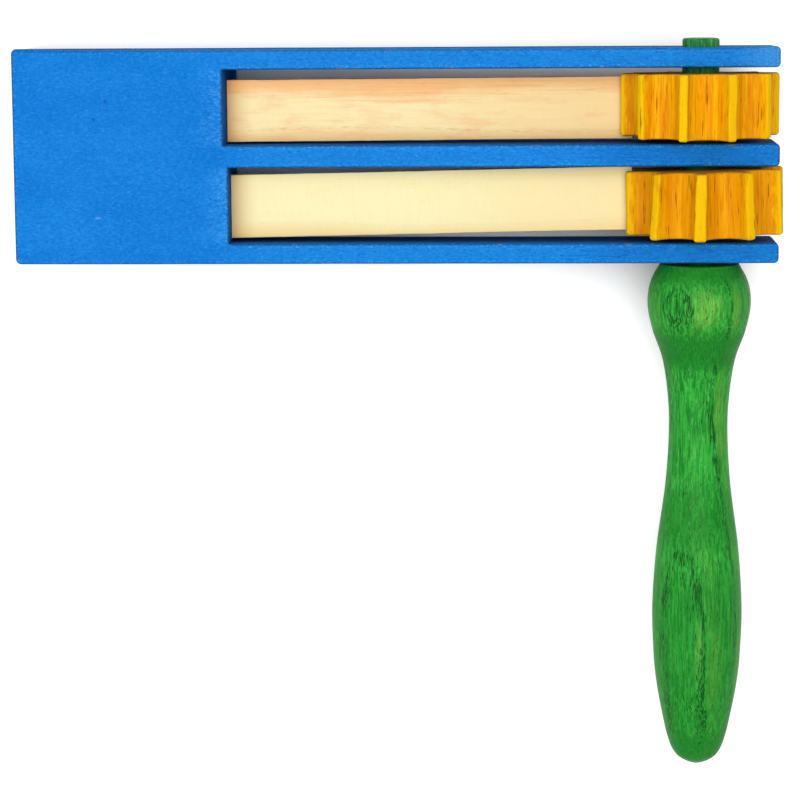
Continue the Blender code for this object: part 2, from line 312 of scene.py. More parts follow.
def smooth_through(stations, steps):
    """Points of a smooth curve through the stations."""
    points = []
    last = len(stations) - 1
    for index in range(last):
        before = Vector(stations[max(index - 1, 0)])
        start = Vector(stations[index])
        end = Vector(stations[index + 1])
        after = Vector(stations[min(index + 2, last)])
        slope = end - before
        bend = 2 * before - 5 * start + 4 * end - after
        twist = 3 * start - before - 3 * end + after
        for step in range(steps):
            t = step / steps
            points.append(start + 0.5 * t * (slope + t * (bend + t * twist)))
    points.append(Vector(stations[last]))
    return points


def slat_place(side):
    """Slat's own axes: the root's mouth is its origin, and X runs along it to the tip."""
    slat = SLATS[side]
    end = SLOTS[side]["end"]
    slope = math.asin((SLAT_ROOT_LEVEL - slat["tip_level"]) / (SLAT_TIP - end))
    turn = Euler((0.0, slope, slat["skew"])).to_matrix().to_4x4()
    return Matrix.Translation((end, slat["middle"], SLAT_ROOT_LEVEL)) @ turn


def frame_outline():
    """Flat outline of the block and its three arms, with rounded corners."""
    shape = bmesh.new()
    bmesh.ops.create_grid(shape, x_segments=1, y_segments=1, size=0.5)
    size = (FRAME_RIGHT - FRAME_LEFT, 2 * FRAME_HALF_HEIGHT, 1.0)
    bmesh.ops.scale(shape, vec=size, verts=shape.verts)
    middle = ((FRAME_RIGHT + FRAME_LEFT) / 2, 0.0, -FRAME_HALF_THICKNESS)
    bmesh.ops.translate(shape, vec=middle, verts=shape.verts)
    for slot in SLOTS.values():
        score(shape, (slot["end"], 0.0, 0.0), (1.0, 0.0, 0.0))
        score(shape, (0.0, slot["bottom"], 0.0), (0.0, 1.0, 0.0))
        score(shape, (0.0, slot["top"], 0.0), (0.0, 1.0, 0.0))
    waste = []
    for face in shape.faces:
        x, y = face.calc_center_median().xy
        if any(x > slot["end"] and slot["bottom"] < y < slot["top"] for slot in SLOTS.values()):
            waste.append(face)
    bmesh.ops.delete(shape, geom=waste, context="FACES")
    bmesh.ops.dissolve_limit(shape, angle_limit=STRAIGHT_ANGLE, verts=shape.verts, edges=shape.edges)
    for level, corner_round in ((FRAME_LEFT, BLOCK_CORNER_ROUND), (FRAME_RIGHT, ARM_CORNER_ROUND)):
        corners = [vert for vert in shape.verts if abs(vert.co.x - level) < SAME_PLACE]
        bmesh.ops.bevel(shape, geom=corners, offset=corner_round, offset_type="OFFSET", segments=4,
                        profile=0.5, affect="VERTICES", material=-1)
    return shape


def slant_slot_ends(shape):
    """Lean the slots' ends, which are sawn shorter at the back than at the front."""
    for slot in SLOTS.values():
        for vert in shape.verts:
            at_end = abs(vert.co.x - slot["end"]) < SAME_PLACE
            if at_end and slot["bottom"] - SAME_PLACE < vert.co.y < slot["top"] + SAME_PLACE:
                depth = (FRAME_HALF_THICKNESS - vert.co.z) / (2 * FRAME_HALF_THICKNESS)
                vert.co.x += slot["slant"] * depth


def raise_corners(shape):
    """Let the frame's upper corners stand a little proud at the front."""
    for vert in shape.verts:
        above = 1.0 - (FRAME_HALF_HEIGHT - vert.co.y) / PROUD_CORNER_HEIGHT
        front = 0.5 + vert.co.z / (2 * FRAME_HALF_THICKNESS)
        for end, lift in PROUD_CORNERS:
            nearness = 1.0 - abs(vert.co.x - end) / PROUD_CORNER_LENGTH
            if nearness > 0.0 and above > 0.0:
                vert.co.y += lift * nearness ** 2 * above * front


def make_frame(material):
    """Block with two slots, bored arms and the slats' kerfs."""
    shape = frame_outline()
    thicken(shape, 2 * FRAME_HALF_THICKNESS)
    slant_slot_ends(shape)
    bmesh.ops.recalc_face_normals(shape, faces=shape.faces)
    rims = [edge for edge in shape.edges if abs(edge.verts[0].co.z - edge.verts[1].co.z) < SAME_PLACE]
    round_edges(shape, rims, FRAME_EDGE_ROUND, 3)
    cutters = [drill_shape(ARM_BORE_RADIUS, QUARTER_TURN)]
    for side in SLATS:
        reach = SLATS[side]["half_width"] + KERF_GAP
        kerf = box_shape((-KERF_DEPTH, -reach, -SLAT_HALF_THICKNESS - KERF_GAP),
                         (KERF_DEPTH / 2, reach, SLAT_HALF_THICKNESS + KERF_GAP))
        bmesh.ops.transform(kerf, matrix=slat_place(side), verts=kerf.verts)
        cutters.append(kerf)
    shape = carve(mesh_of("frame_blank", shape), cutters)
    score_grid(shape, FRAME_LEFT, FRAME_RIGHT, FRAME_MESH_STEP, 0)
    score_grid(shape, -FRAME_HALF_HEIGHT, FRAME_HALF_HEIGHT, FRAME_MESH_STEP, 1)
    score_grid(shape, -FRAME_HALF_THICKNESS, FRAME_HALF_THICKNESS, FRAME_MESH_STEP, 2)
    raise_corners(shape)
    wear_flat(shape, depth=0.06 * MM, size=14 * MM)
    piece = new_piece("painted_frame", shape, FRAME, material, "frame")
    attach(piece, "frame")


def make_slat(side, name, material):
    """Bare slat with slightly ragged sawn edges, sloping from its kerf to its tip."""
    place = slat_place(side)
    half = SLATS[side]["half_width"]
    free_length = SLAT_TIP - SLOTS[side]["end"]
    root = -KERF_DEPTH + KERF_GAP
    shape = box_shape((root, -half, -SLAT_HALF_THICKNESS), (free_length, half, SLAT_HALF_THICKNESS))
    round_edges(shape, shape.edges[:], SLAT_EDGE_ROUND, 2)
    score_grid(shape, root, free_length, SLAT_MESH_STEP, 0)
    score_grid(shape, -half, half, SLAT_MESH_STEP, 1)
    for vert in shape.verts:
        edge = abs(vert.co.y) - half + 3 * SLAT_EDGE_ROUND
        if edge > 0.0:
            ragged = 0.0
            for length, depth, seed in RAGGED_WAVES:
                level = noise.noise(Vector((vert.co.x / length, vert.co.y * RAGGED_ACROSS, seed)))
                ragged += depth * (0.5 + 0.5 * level)
            vert.co.y -= math.copysign(ragged, vert.co.y)
    feather_tip(shape, free_length)
    wear_flat(shape, depth=0.06 * MM, size=11 * MM, shift=5.0)
    piece = new_piece(name, shape, FRAME @ place, material, side + "_slat")
    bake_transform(piece)


def feather_tip(shape, free_length):
    """Thin the slat's tip from the back, where it springs over the teeth."""
    for vert in shape.verts:
        share = (vert.co.x - free_length + FEATHER_START) / (FEATHER_START - FEATHER_END)
        depth = FEATHER_DEPTH * min(max(share, 0.0), 1.0)
        vert.co.z += (SLAT_HALF_THICKNESS - vert.co.z) * depth / (2 * SLAT_HALF_THICKNESS)


def cog_outline():
    """One tooth's crest and notch drawn with arcs, then repeated round the axis."""
    axis = (0.0, 0.0, 1.0)
    valley = math.pi / 2 + HALF_PITCH
    notch_centre = Vector((math.cos(valley), math.sin(valley), 0.0))
    notch_centre = notch_centre * COG_RADIUS * math.cos(NOTCH_HALF_ANGLE)
    corner_angle = math.pi / 2 - CREST_HALF_ANGLE
    shape = bmesh.new()
    corner_x = COG_RADIUS * math.cos(corner_angle)
    corner_y = COG_RADIUS * math.sin(corner_angle)
    corner = shape.verts.new((corner_x, corner_y, 0.0))
    crest = bmesh.ops.spin(shape, geom=[corner], cent=(0.0, 0.0, 0.0), axis=axis,
                           angle=2 * CREST_HALF_ANGLE, steps=CREST_STEPS)
    last = [item for item in crest["geom_last"] if isinstance(item, bmesh.types.BMVert)]
    bmesh.ops.spin(shape, geom=last, cent=notch_centre, axis=axis, angle=-math.pi, steps=NOTCH_STEPS)
    bmesh.ops.spin(shape, geom=shape.verts[:] + shape.edges[:], cent=(0.0, 0.0, 0.0), axis=axis,
                   angle=2 * math.pi * (COG_TEETH - 1) / COG_TEETH, steps=COG_TEETH - 1, use_duplicate=True)
    bmesh.ops.remove_doubles(shape, verts=shape.verts, dist=SAME_PLACE)
    return shape


def cog_setting(side):
    """Cog's own axes: Z runs along its bore, and the first crest points along Y."""
    cog = COGS[side]
    setting = Matrix.Translation((cog["offset"], cog["middle"], 0.0))
    setting = setting @ Euler((cog["lean"], 0.0, cog["skew"])).to_matrix().to_4x4()
    setting = setting @ Matrix.Scale(cog["oval"], 4, (1.0, 0.0, 0.0))
    return setting @ Matrix.Rotation(cog["turn"], 4, "Y") @ QUARTER_TURN


def make_cog(side, name, material):
    """Cog with uneven crests and sanded ends, bored off centre and askew to fit the spindle snugly."""
    setting = cog_setting(side)
    half = COGS[side]["thickness"] / 2
    shape = cog_outline()
    bmesh.ops.edgeloop_fill(shape, edges=shape.edges[:])
    thicken(shape, 2 * half)
    bmesh.ops.translate(shape, vec=(0.0, 0.0, -half), verts=shape.verts)
    bmesh.ops.recalc_face_normals(shape, faces=shape.faces)
    sharp = [edge for edge in shape.edges if edge.calc_face_angle(0.0) > COG_CORNER_ANGLE]
    round_edges(shape, sharp, COG_EDGE_ROUND, 3, clamp=True)
    bore = drill_shape(COG_BORE_RADIUS, setting.inverted() @ QUARTER_TURN)
    shape = carve(mesh_of("cog_blank", shape), [bore])
    for axis, reach in enumerate((COG_RADIUS, COG_RADIUS, half)):
        score_grid(shape, -reach, reach, COG_MESH_STEP, axis)
    for level in (half - CREST_END_ROUND, half - 0.75 * COG_EDGE_ROUND):
        score(shape, (0.0, 0.0, level), (0.0, 0.0, 1.0))
        score(shape, (0.0, 0.0, -level), (0.0, 0.0, 1.0))
    roughen_cog(shape, half, COGS[side])
    splay_front(shape, half, COGS[side])
    saw_askew(shape, half, COGS[side])
    wear_flat(shape, depth=0.05 * MM, size=3 * MM, shift=8.0)
    piece = new_piece(name, shape, AXIS @ setting, material, side + "_cog")
    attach(piece, "handle")


def cog_front(cog):
    """Direction of the cog's front in its own axes."""
    return Vector((-math.sin(cog["turn"]), math.cos(cog["turn"]), 0.0))


def roughen_cog(shape, half, cog):
    """Make the teeth uneven along the grain, spread the front crest and round the ends of the crests."""
    seed = Vector((0.0, 0.0, TOOTH_SEED_RATE * cog["middle"]))
    for vert in shape.verts:
        reach = vert.co.xy.length
        if reach < COG_CORE_RADIUS:
            continue
        outward = Vector((vert.co.x, vert.co.y, 0.0)) / reach
        sideways = Vector((-outward.y, outward.x, 0.0))
        share = (reach / COG_RADIUS) ** 3
        drift = 0.0
        for across, along, amount, way in TOOTH_WAVES:
            spot = Vector((vert.co.x / across, vert.co.y / across, vert.co.z / along))
            drift += amount * noise.noise(spot + way * seed) * share
        if outward.y > math.cos(HALF_PITCH):
            drift -= math.copysign(cog["front_spread"], vert.co.x) * share
        sink = COG_SHRINK * reach
        past_end = max(abs(vert.co.z) - half + CREST_END_ROUND, 0.0) / CREST_END_ROUND
        past_flank = max(reach - COG_RADIUS + 2 * CREST_END_ROUND, 0.0) / (2 * CREST_END_ROUND)
        sink += CREST_END_SINK * past_end ** 2 * past_flank
        vert.co += sideways * drift - outward * sink


def splay_front(shape, half, cog):
    """Space the front teeth unevenly and lean them apart towards the cog's foot."""
    front = cog_front(cog) / COG_RADIUS
    right = Vector((math.cos(cog["turn"]), math.sin(cog["turn"]), 0.0))
    for vert in shape.verts:
        aside = vert.co.dot(right) / COG_RADIUS
        ahead = vert.co.dot(front)
        if ahead < 0.0 or vert.co.xy.length < COG_CORE_RADIUS:
            continue
        splay = cog["left_splay"] if aside < 0.0 else cog["right_splay"]
        vert.co += right * ahead ** 2 * (aside * splay * vert.co.z / half + abs(aside) * cog["uneven"])


def saw_askew(shape, half, cog):
    """Slope the sawn ends, so that the cog is longer at the front than at the back."""
    front = cog_front(cog)
    for vert in shape.verts:
        askew = cog["top_askew"] if vert.co.z < 0.0 else cog["foot_askew"]
        vert.co.z *= 1.0 + askew / half * vert.co.dot(front) / COG_RADIUS


def make_handle(material):
    """Turned grip: socket, shoulder, ball, neck, swelling grip and rounded nose."""
    profile = [(0.0, -SOCKET_DEPTH), (SOCKET_RADIUS, -SOCKET_DEPTH), (SOCKET_RADIUS, 0.0),
               (HANDLE_TOP_RADIUS, 0.0)]
    depth, radius = HANDLE_STATIONS[-2]
    past_the_tip = (depth, -radius)
    outer = smooth_through(HANDLE_STATIONS + [past_the_tip], STATION_STEPS)[:-STATION_STEPS]
    profile += [(radius, -depth) for depth, radius in outer]
    shape = turned_shape([(radius, height + HANDLE_SHOULDER) for radius, height in profile], TURNED_STEPS)
    bmesh.ops.recalc_face_normals(shape, faces=shape.faces)
    wear_flat(shape, depth=0.03 * MM, size=12 * MM, shift=3.0)
    piece = new_piece("turned_handle", shape, AXIS, material, "handle")
    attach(piece, "handle")


def make_spindle(material):
    """Dowel with eased ends, glued in the handle's socket."""
    profile = [(0.0, SPINDLE_TOP)]
    for step in range(SPINDLE_EASE_STEPS + 1):
        angle = math.pi / 2 * (1 - step / SPINDLE_EASE_STEPS)
        profile.append((SPINDLE_RADIUS - SPINDLE_EASE + SPINDLE_EASE * math.cos(angle),
                        SPINDLE_TOP - SPINDLE_EASE + SPINDLE_EASE * math.sin(angle)))
    profile += [(SPINDLE_RADIUS, SPINDLE_FOOT + SPINDLE_EASE),
                (SPINDLE_RADIUS - SPINDLE_EASE, SPINDLE_FOOT),
                (0.0, SPINDLE_FOOT)]
    shape = turned_shape(profile, TURNED_STEPS // 2)
    piece = new_piece("dowel_spindle", shape, AXIS, material, "spindle")
    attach(piece, "handle")


def make_pin(side, material):
    """Steel pin whose rounded end shows in the valley nearest to straight down."""
    cog = COGS[side]
    root_radius = COG_RADIUS * (math.cos(NOTCH_HALF_ANGLE) - math.sin(NOTCH_HALF_ANGLE))
    valley = min((cog["turn"] + (2 * tooth + 1) * HALF_PITCH for tooth in range(COG_TEETH)),
                 key=lambda angle: abs(math.remainder(math.pi - angle, 2 * math.pi)))
    root_radius += cog["offset"] * math.sin(valley)
    end = root_radius - PIN_END_SINK
    profile = [(0.0, PIN_INNER_END), (PIN_RADIUS, PIN_INNER_END), (PIN_RADIUS, end)]
    for step in range(1, PIN_END_STEPS):
        angle = math.pi / 2 * step / PIN_END_STEPS
        profile.append((PIN_RADIUS * math.cos(angle), end + PIN_END_ROUND * math.sin(angle)))
    profile.append((0.0, end + PIN_END_ROUND))
    shape = turned_shape(profile, STEEL_STEPS)
    place = AXIS @ Matrix.Translation((0.0, cog["middle"], 0.0))
    place = place @ Matrix.Rotation(valley, 4, "Y") @ QUARTER_TURN
    piece = new_piece(f"{side}_lock_pin", shape, place, material, f"{side}_cog_pin")
    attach(piece, "handle")


def make_brads(side, material):
    """Two brads driven in from the back through the slat's root, with small round heads."""
    back = -FRAME_HALF_THICKNESS
    middle = SLATS[side]["middle"]
    along = SLOTS[side]["end"] - KERF_DEPTH / 2
    profile = [
        (0.0, -0.10 * MM),
        (0.6 * BRAD_HEAD_RADIUS, -0.07 * MM),
        (0.92 * BRAD_HEAD_RADIUS, 0.0),
        (BRAD_HEAD_RADIUS, 0.12 * MM),
        (BRAD_HEAD_RADIUS, BRAD_HEAD_THICKNESS),
        (BRAD_RADIUS, BRAD_HEAD_THICKNESS + 0.2 * MM),
        (BRAD_RADIUS, BRAD_LENGTH - BRAD_POINT),
        (0.0, BRAD_LENGTH),
    ]
    for number, direction in ((1, 1), (2, -1)):
        shape = turned_shape(profile, STEEL_STEPS)
        driven = (along, middle + direction * BRAD_SPACING / 2, back)
        place = FRAME @ Matrix.Translation(driven) @ QUARTER_TURN
        name = f"{side}_slat_nail_{number}"
        piece = new_piece(name, shape, place, material, f"{side}_slat_brad_{number}")
        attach(piece, "frame")


def shown(red, green, blue):
    """Linear colour from the 0 to 255 values that a picture shows."""
    linear = []
    for value in (red, green, blue):
        share = value / 255
        linear.append(share / 12.92 if share <= 0.04045 else ((share + 0.055) / 1.055) ** 2.4)
    return (*linear, 1.0)


class Nodes:
    """Shader nodes of a material or world. Most calls add nodes and return an output."""

    def __init__(self, owner):
        owner.use_nodes = True
        self.tree = owner.node_tree

    def feed(self, socket, value):
        if isinstance(value, bpy.types.NodeSocket):
            self.tree.links.new(value, socket)
        else:
            socket.default_value = value

    def node(self, kind, values, output=0, **settings):
        made = self.tree.nodes.new(kind)
        for key, value in settings.items():
            setattr(made, key, value)
        for key, value in values.items():
            self.feed(made.inputs[key], value)
        return made.outputs[output]

    def chain(self, operation, values):
        """Math nodes over the values, one after another."""
        result = values[0]
        for value in values[1:]:
            result = self.node("ShaderNodeMath", {0: result, 1: value}, operation=operation)
        return result

    def sum(self, *values):
        return self.chain("ADD", values)

    def times(self, *values):
        return self.chain("MULTIPLY", values)

    def most(self, *values):
        return self.chain("MAXIMUM", values)

    def size(self, value):
        """Value without its sign."""
        return self.node("ShaderNodeMath", {0: value}, operation="ABSOLUTE")

    def rise(self, value, low, high, bottom=0.0, top=1.0):
        """Smooth step from bottom to top as the value goes from low to high."""
        values = {"Value": value, "From Min": low, "From Max": high, "To Min": bottom, "To Max": top}
        return self.node("ShaderNodeMapRange", values, interpolation_type="SMOOTHSTEP")

    def near(self, value, line, width):
        """One on a line, falling to nothing at a distance."""
        offset = self.chain("SUBTRACT", (value, line))
        return self.rise(self.size(offset), 0.25 * width, width, 1.0, 0.0)

    def spot(self, x, y, centre, reach):
        """One at a centre, falling to nothing at a reach across and along."""
        return self.times(self.near(x, centre[0], reach[0]), self.near(y, centre[1], reach[1]))

    def between(self, value, low, high, soft):
        """One from low to high, with soft ends."""
        past_low = self.rise(value, low - soft, low + soft)
        before_high = self.rise(value, high - soft, high + soft, 1.0, 0.0)
        return self.times(past_low, before_high)

    def zones(self, value, spans):
        """Greatest share of the spans, each from low to high with soft ends."""
        return self.most(*[self.times(self.between(value, low, high, soft), share)
                           for low, high, share, soft in spans])

    def blend(self, factor, first, second):
        return self.node("ShaderNodeMix", {0: factor, 6: first, 7: second}, 2, data_type="RGBA")

    def seen_directly(self):
        """One for rays from the camera, mirrors and glass, and nothing for light on the object."""
        path = self.tree.nodes.new("ShaderNodeLightPath")
        kinds = ("Is Camera Ray", "Is Glossy Ray", "Is Transmission Ray")
        return self.most(*[path.outputs[kind] for kind in kinds])


class Finish(Nodes):
    """Material drawn on a piece's grain coordinates, with tones laid over a first colour."""

    def __init__(self, name, colour, specular, metallic=0.0):
        self.material = bpy.data.materials.new(name)
        super().__init__(self.material)
        self.colour = colour
        self.shader = self.tree.nodes["Principled BSDF"]
        self.shader.inputs["Specular IOR Level"].default_value = specular
        self.shader.inputs["Metallic"].default_value = metallic
        self.place = self.node("ShaderNodeAttribute", {}, "Vector", attribute_name="grain_mm")

    def axes(self):
        made = self.tree.nodes.new("ShaderNodeSeparateXYZ")
        self.feed(made.inputs[0], self.place)
        return made.outputs[0], made.outputs[1], made.outputs[2]

    def along(self, direction):
        return self.node("ShaderNodeVectorMath", {0: self.place, 1: direction}, "Value",
                         operation="DOT_PRODUCT")

    def clouds(self, vector, detail, roughness):
        values = {"Vector": vector, "Scale": 1.0, "Detail": detail, "Roughness": roughness}
        return self.node("ShaderNodeTexNoise", values, "Fac")

    def figure(self, scale, detail, roughness, shift=(0.0, 0.0, 0.0)):
        """Clouds stretched along the grain, with their frequency on each axis."""
        spot = self.node("ShaderNodeVectorMath", {0: self.place, 1: scale, 2: shift},
                         operation="MULTIPLY_ADD")
        return self.clouds(spot, detail, roughness)

    def lay(self, tone, *factors):
        """Blend a tone over the colour by the product of the factors."""
        self.colour = self.blend(self.times(*factors), self.colour, tone)

    def tint(self, tone, value, low, high, share=1.0):
        """Lay a tone by up to a share as the value goes from low to high."""
        self.lay(tone, self.rise(value, low, high, 0.0, share))

    def coat(self, roughness, relief, depth):
        """Give the shader its colour, roughness and a relief of weighted values. Depth is in metres."""
        self.feed(self.shader.inputs["Base Color"], self.colour)
        self.feed(self.shader.inputs["Roughness"], roughness)
        height = self.sum(*[self.times(value, weight) for value, weight in relief])
        bump = self.node("ShaderNodeBump", {"Height": height, "Distance": depth, "Strength": 1.0})
        self.feed(self.shader.inputs["Normal"], bump)
        return self.material


def slots_mm():
    """Each slot's end, bottom and top in millimetres."""
    return [(slot["end"] / MM, slot["bottom"] / MM, slot["top"] / MM) for slot in SLOTS.values()]


def frame_edges(finish, x, y, z, width):
    """One along the edges where two of the frame's faces meet, falling to nothing at a distance."""
    slot_sides = []
    slot_ends = []
    for end, bottom, top in slots_mm():
        past_end = finish.rise(x, end - 0.3, end + 0.3)
        inside = finish.between(y, bottom, top, 0.4)
        slot_sides += [finish.times(past_end, finish.near(y, line, width)) for line in (bottom, top)]
        slot_ends.append(finish.times(inside, finish.near(x, end, width)))
    flat = finish.size(z)
    high = finish.size(y)
    near_face = finish.near(flat, FRAME_HALF_THICKNESS / MM, width)
    outer = FRAME_HALF_HEIGHT / MM
    near_side = finish.most(finish.rise(high, outer - width, outer - 0.25 * width, 0.0, 0.55), *slot_sides)
    outer_ends = [finish.near(x, end / MM, width) for end in (FRAME_LEFT, FRAME_RIGHT)]
    near_end = finish.most(*outer_ends, *slot_ends)
    return finish.most(finish.times(near_face, near_side), finish.times(near_face, near_end),
                       finish.times(near_side, near_end))


def slot_walls(finish, x, y, z):
    """One on the sawn walls inside the slots, and nothing on the frame's broad faces."""
    walls = []
    for end, bottom, top in slots_mm():
        inside = finish.between(y, bottom - 0.15, top + 0.15, 0.06)
        walls.append(finish.times(inside, finish.rise(x, end - 0.20, end - 0.05)))
    face = FRAME_HALF_THICKNESS / MM
    behind_face = finish.rise(finish.size(z), face - 0.65, face - 0.15, 1.0, 0.0)
    return finish.times(finish.most(*walls), behind_face)


def saw_fray(finish, x, y, reach):
    """One just before a slot's end, fading into the block."""
    frays = []
    for end, bottom, top in slots_mm():
        inside = finish.between(y, bottom, top, 1.2)
        before = finish.times(finish.rise(x, end - reach, end), finish.rise(x, end, end + 0.6, 1.0, 0.0))
        frays.append(finish.times(inside, before))
    return finish.most(*frays)


def blue_paint():
    """Thin matt blue paint: cloudy, flecked over the pores, with painted shade along the edges, in the
    slots and by the cogs, and frayed by the saw.
    """
    finish = Finish("blue paint over wood", shown(18, 122, 212), 0.015)
    x, y, z = finish.axes()
    cloudy = finish.figure((0.05, 0.09, 0.09), 3.0, 0.6)
    mottle = finish.figure((1.0, 1.7, 1.7), 4.0, 0.7)
    pores = finish.figure((0.8, 2.4, 2.4), 2.0, 0.6, (4.0, 1.0, 7.0))
    flecks = finish.figure((1.3, 2.0, 2.0), 2.0, 0.5, (9.0, 3.0, 2.0))
    fibres = finish.figure((0.22, 2.2, 2.2), 3.0, 0.6, (1.0, 4.0, 6.0))
    finish.tint(shown(25, 130, 219), cloudy, 0.35, 0.65)
    arms = finish.rise(x, -128.0, -116.0)
    finish.lay(shown(36, 142, 226), arms, 0.45)
    finish.tint(shown(12, 103, 194), mottle, 0.46, 0.70, 0.6)
    finish.tint(shown(50, 154, 238), mottle, 0.48, 0.28, 0.6)
    # Dark fibre streaks on the arms, stronger towards the cogs, where they also paint the cogs' shade
    fibres_and_cog_shade = finish.rise(x, -60.0, -20.0, 0.35, 1.0)
    finish.lay(shown(6, 78, 158), fibres_and_cog_shade, arms, finish.rise(fibres, 0.50, 0.70, 0.0, 0.42))
    finish.tint(shown(8, 76, 158), pores, 0.65, 0.75, 0.7)
    # Painted shade from the cogs on the arms between them
    shade_between_cogs = finish.times(finish.rise(x, -34.0, -20.0), finish.rise(y, 20.0, 22.0, 1.0, 0.0))
    finish.lay(shown(10, 86, 164), shade_between_cogs, 0.30)

    # Short light scratches, which run a little uphill in patches
    uphill = finish.node("ShaderNodeCombineXYZ", {0: finish.along((0.36, 0.15, 0.15)),
                                                  1: finish.along((-1.3, 3.2, 0.0)),
                                                  2: finish.along((0.0, 0.0, 3.2))})
    patchy = finish.figure((0.07, 0.10, 0.10), 2.0, 0.5, (3.0, 8.0, 1.0))
    scratches = finish.rise(finish.clouds(uphill, 1.0, 0.5), 0.64, 0.74)
    finish.lay(shown(104, 182, 244), scratches, finish.rise(patchy, 0.45, 0.60), 0.16)
    finish.tint(shown(84, 172, 244), flecks, 0.68, 0.76, 0.35)

    # Painted shade along the edges, which are in places rubbed down to the wood; the light specks along
    # them are partly worn paint and partly painted highlight
    edge = frame_edges(finish, x, y, z, 0.75)
    rubbed = finish.figure((0.25, 0.5, 0.5), 3.0, 0.6, (3.0, 8.0, 1.0))
    wide_edge_wear_and_highlight = frame_edges(finish, x, y, z, 1.7)
    finish.lay(shown(104, 182, 246), wide_edge_wear_and_highlight, finish.rise(flecks, 0.54, 0.68, 0.0, 0.5))
    finish.lay(shown(8, 62, 120), edge, 0.62)
    finish.lay(shown(126, 122, 96), edge, finish.rise(rubbed, 0.58, 0.70, 0.0, 0.55))
    pale_end = finish.times(finish.rise(x, 6.0, 19.0), finish.rise(y, 22.0, 23.5))
    finish.lay(shown(84, 156, 220), pale_end, finish.rise(flecks, 0.30, 0.66, 0.15, 0.6))
    threads = finish.figure((1.1, 2.4, 2.4), 3.0, 0.6, (5.0, 5.0, 5.0))
    frayed = saw_fray(finish, x, y, 9.0)
    finish.lay(shown(96, 180, 248), frayed, finish.rise(threads, 0.44, 0.70), 0.50)

    # Painted shade: the slot walls are dark, darkest midway between the two faces, and the long sides
    # darken towards the back
    wall_shade_tone = finish.blend(finish.rise(finish.size(z), 3.0, 8.0), shown(10, 38, 92), shown(24, 90, 168))
    finish.lay(wall_shade_tone, slot_walls(finish, x, y, z), finish.rise(fibres, 0.25, 0.7, 0.95, 0.75))
    outer = FRAME_HALF_HEIGHT / MM
    long_side_shade = finish.rise(finish.size(y), outer - 0.5, outer - 0.1)
    finish.lay(shown(8, 70, 130), long_side_shade, finish.rise(z, 5.0, -4.0, 0.0, 0.75))

    # Two knocked pits and a small light dent on the block's face
    pits = finish.most(finish.spot(x, y, (-157.8, 15.0), (0.6, 0.9)),
                       finish.spot(x, y, (-161.0, 10.3), (0.7, 0.6)))
    finish.lay(shown(10, 66, 138), pits, 0.5)
    dent = finish.spot(x, y, (-160.3, -15.95), (1.1, 0.42))
    finish.lay(shown(130, 196, 248), dent, 0.35)
    relief = [(mottle, 0.5), (pores, -0.9), (finish.sum(pits, dent), -0.8)]
    return finish.coat(finish.rise(mottle, 0.3, 0.7, 0.55, 0.70), relief, 0.10 * MM)


def slat_wood(name, tones, streak_tone, pore_tone, tip_tone, red_edge, streaky, saw_marks, shift):
    """Bare slat: a stained upper edge, soft bands and fine dashes along it, and saw marks across it."""
    low_tone, middle_tone, high_tone = tones
    finish = Finish(name, low_tone, 0.06)
    x, y = finish.axes()[:2]
    bow = finish.figure((0.030, 0.10, 0.3), 3.0, 0.6, (shift, 2.0, 4.0))
    across = finish.sum(y, finish.rise(bow, 0.2, 0.8, -2.4, 2.4))
    sway = finish.figure((0.020, 0.06, 0.3), 0.0, 0.5, (2.0, shift, 6.0))
    level = finish.sum(y, finish.rise(sway, 0.2, 0.8, -0.8, 0.8))
    smoky = finish.figure((0.10, 0.30, 0.30), 3.0, 0.6, (3.0, shift, 2.0))
    streaks = finish.figure((0.045, 1.6, 1.6), 3.0, 0.6, (1.0, shift, 3.0))
    dashes = finish.figure((0.42, 3.6, 3.6), 2.0, 0.55, (shift, 9.0, 5.0))
    marks = finish.figure((1.7, 0.36, 0.36), 3.0, 0.6, (8.0, shift, 1.0))
    finish.tint(middle_tone, level, -7.6, -4.4)
    finish.lay(high_tone, finish.rise(across, 2.6, 7.2), red_edge)
    finish.tint(tip_tone, x, 40.0, 98.0, 0.5)
    finish.tint(streak_tone, smoky, 0.46, 0.72, 0.5 * streaky)
    reddish = finish.rise(across, 0.5, 6.5, 0.2, 1.0)
    finish.lay(streak_tone, finish.rise(streaks, 0.46, 0.70, 0.0, streaky), reddish)
    dashed = finish.rise(dashes, 0.44, 0.66, 0.0, 0.30 * red_edge)
    finish.lay(pore_tone, finish.near(level, -5.4, 0.5), dashed)
    finish.lay(pore_tone, finish.rise(dashes, 0.60, 0.74, 0.0, 0.5 * streaky), reddish)
    finish.lay(streak_tone, finish.rise(marks, 0.46, 0.68), saw_marks)
    # Darker towards the root: partly brown staining, partly painted shade from the slot's end wall
    finish.tint(pore_tone, x, 8.0, 0.0, 0.6)
    relief = [(streaks, -0.5), (dashes, -0.6), (marks, saw_marks)]
    return finish.coat(finish.rise(streaks, 0.3, 0.7, 0.55, 0.70), relief, 0.06 * MM)


